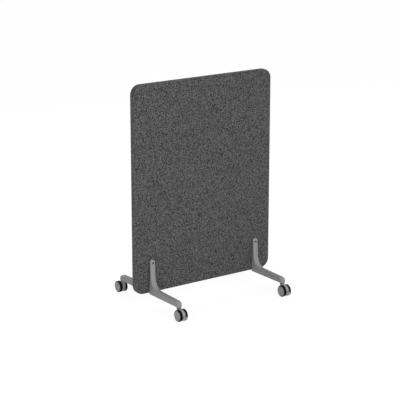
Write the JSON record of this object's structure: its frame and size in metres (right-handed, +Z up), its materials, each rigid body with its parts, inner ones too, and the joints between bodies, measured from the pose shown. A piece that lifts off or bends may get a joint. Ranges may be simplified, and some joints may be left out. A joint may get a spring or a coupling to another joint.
{
  "type": "rolling partition",
  "caption": "Freestanding upholstered screen panel with rounded corners, held between cast L-shaped feet on twin-wheel braked swivel casters.",
  "frame": {"origin": "on the floor under the middle of the object, midway between the feet and midway through the panel", "axes": "+Z up; +X along the panel's width, so the left feet are at -X; the front of the panel faces -Y"},
  "size_m": [1, 0.745, 1.3535],
  "materials": {
    "felt": "dark grey melange felt",
    "wadding": "white polyester wadding",
    "board": "raw chipboard",
    "cast_metal": "satin grey powder coat on die-cast aluminium",
    "steel": "zinc plated",
    "black_steel": "black oxide",
    "dark_plastic": "dark grey acetal",
    "grey_plastic": "grey nylon, fine texture",
    "black_plastic": "black nylon",
    "tread": "soft black tread"
  },
  "bodies": {
    "screen": {"core_board": "board", "front_wadding": "wadding", "back_wadding": "wadding", "front_cover": "felt", "back_cover": "felt", "left_front_bracket": "cast_metal", "left_back_bracket": "cast_metal", "right_front_bracket": "cast_metal", "right_back_bracket": "cast_metal", "tie_plates": "steel", "tie_screws": "black_steel", "clamp_screws": "black_steel", "clamp_nuts": "black_steel", "clamp_sleeves": "steel", "caster_stems": "steel", "bearing_rings": "dark_plastic"},
    "left_front_swivel": {"left_front_housing": "grey_plastic", "left_front_axle": "steel", "left_front_brake_pin": "steel"},
    "left_front_brake": {"left_front_brake_lever": "grey_plastic"},
    "left_front_wheel_left": {"left_front_rim_left": "black_plastic", "left_front_tyre_left": "tread", "left_front_cap_left": "grey_plastic"},
    "left_front_wheel_right": {"left_front_rim_right": "black_plastic", "left_front_tyre_right": "tread", "left_front_cap_right": "grey_plastic"},
    "left_back_swivel": {"left_back_housing": "grey_plastic", "left_back_axle": "steel", "left_back_brake_pin": "steel"},
    "left_back_brake": {"left_back_brake_lever": "grey_plastic"},
    "left_back_wheel_left": {"left_back_rim_left": "black_plastic", "left_back_tyre_left": "tread", "left_back_cap_left": "grey_plastic"},
    "left_back_wheel_right": {"left_back_rim_right": "black_plastic", "left_back_tyre_right": "tread", "left_back_cap_right": "grey_plastic"},
    "right_front_swivel": {"right_front_housing": "grey_plastic", "right_front_axle": "steel", "right_front_brake_pin": "steel"},
    "right_front_brake": {"right_front_brake_lever": "grey_plastic"},
    "right_front_wheel_left": {"right_front_rim_left": "black_plastic", "right_front_tyre_left": "tread", "right_front_cap_left": "grey_plastic"},
    "right_front_wheel_right": {"right_front_rim_right": "black_plastic", "right_front_tyre_right": "tread", "right_front_cap_right": "grey_plastic"},
    "right_back_swivel": {"right_back_housing": "grey_plastic", "right_back_axle": "steel", "right_back_brake_pin": "steel"},
    "right_back_brake": {"right_back_brake_lever": "grey_plastic"},
    "right_back_wheel_left": {"right_back_rim_left": "black_plastic", "right_back_tyre_left": "tread", "right_back_cap_left": "grey_plastic"},
    "right_back_wheel_right": {"right_back_rim_right": "black_plastic", "right_back_tyre_right": "tread", "right_back_cap_right": "grey_plastic"}
  },
  "joints": [
    {"name": "left_front_swivel_turn", "type": "hinge", "parent": "screen", "child": "left_front_swivel", "pos_m": [-0.3835, -0.303, 0.06], "axis": [0, 0, 1], "continuous": true},
    {"name": "left_front_brake_press", "type": "hinge", "parent": "left_front_swivel", "child": "left_front_brake", "pos_m": [-0.3835, -0.34, 0.0375], "axis": [1, 0, 0], "range_deg": [0, 15]},
    {"name": "left_front_wheel_left_roll", "type": "hinge", "parent": "left_front_swivel", "child": "left_front_wheel_left", "pos_m": [-0.3835, -0.325, 0.035], "axis": [1, 0, 0], "continuous": true},
    {"name": "left_front_wheel_right_roll", "type": "hinge", "parent": "left_front_swivel", "child": "left_front_wheel_right", "pos_m": [-0.3835, -0.325, 0.035], "axis": [1, 0, 0], "continuous": true},
    {"name": "left_back_swivel_turn", "type": "hinge", "parent": "screen", "child": "left_back_swivel", "pos_m": [-0.3835, 0.303, 0.06], "axis": [0, 0, 1], "continuous": true},
    {"name": "left_back_brake_press", "type": "hinge", "parent": "left_back_swivel", "child": "left_back_brake", "pos_m": [-0.3835, 0.34, 0.0375], "axis": [-1, 0, 0], "range_deg": [0, 15]},
    {"name": "left_back_wheel_left_roll", "type": "hinge", "parent": "left_back_swivel", "child": "left_back_wheel_left", "pos_m": [-0.3835, 0.325, 0.035], "axis": [1, 0, 0], "continuous": true},
    {"name": "left_back_wheel_right_roll", "type": "hinge", "parent": "left_back_swivel", "child": "left_back_wheel_right", "pos_m": [-0.3835, 0.325, 0.035], "axis": [1, 0, 0], "continuous": true},
    {"name": "right_front_swivel_turn", "type": "hinge", "parent": "screen", "child": "right_front_swivel", "pos_m": [0.3835, -0.303, 0.06], "axis": [0, 0, 1], "continuous": true},
    {"name": "right_front_brake_press", "type": "hinge", "parent": "right_front_swivel", "child": "right_front_brake", "pos_m": [0.3835, -0.34, 0.0375], "axis": [1, 0, 0], "range_deg": [0, 15]},
    {"name": "right_front_wheel_left_roll", "type": "hinge", "parent": "right_front_swivel", "child": "right_front_wheel_left", "pos_m": [0.3835, -0.325, 0.035], "axis": [1, 0, 0], "continuous": true},
    {"name": "right_front_wheel_right_roll", "type": "hinge", "parent": "right_front_swivel", "child": "right_front_wheel_right", "pos_m": [0.3835, -0.325, 0.035], "axis": [1, 0, 0], "continuous": true},
    {"name": "right_back_swivel_turn", "type": "hinge", "parent": "screen", "child": "right_back_swivel", "pos_m": [0.3835, 0.303, 0.06], "axis": [0, 0, 1], "continuous": true},
    {"name": "right_back_brake_press", "type": "hinge", "parent": "right_back_swivel", "child": "right_back_brake", "pos_m": [0.3835, 0.34, 0.0375], "axis": [-1, 0, 0], "range_deg": [0, 15]},
    {"name": "right_back_wheel_left_roll", "type": "hinge", "parent": "right_back_swivel", "child": "right_back_wheel_left", "pos_m": [0.3835, 0.325, 0.035], "axis": [1, 0, 0], "continuous": true},
    {"name": "right_back_wheel_right_roll", "type": "hinge", "parent": "right_back_swivel", "child": "right_back_wheel_right", "pos_m": [0.3835, 0.325, 0.035], "axis": [1, 0, 0], "continuous": true}
  ]
}
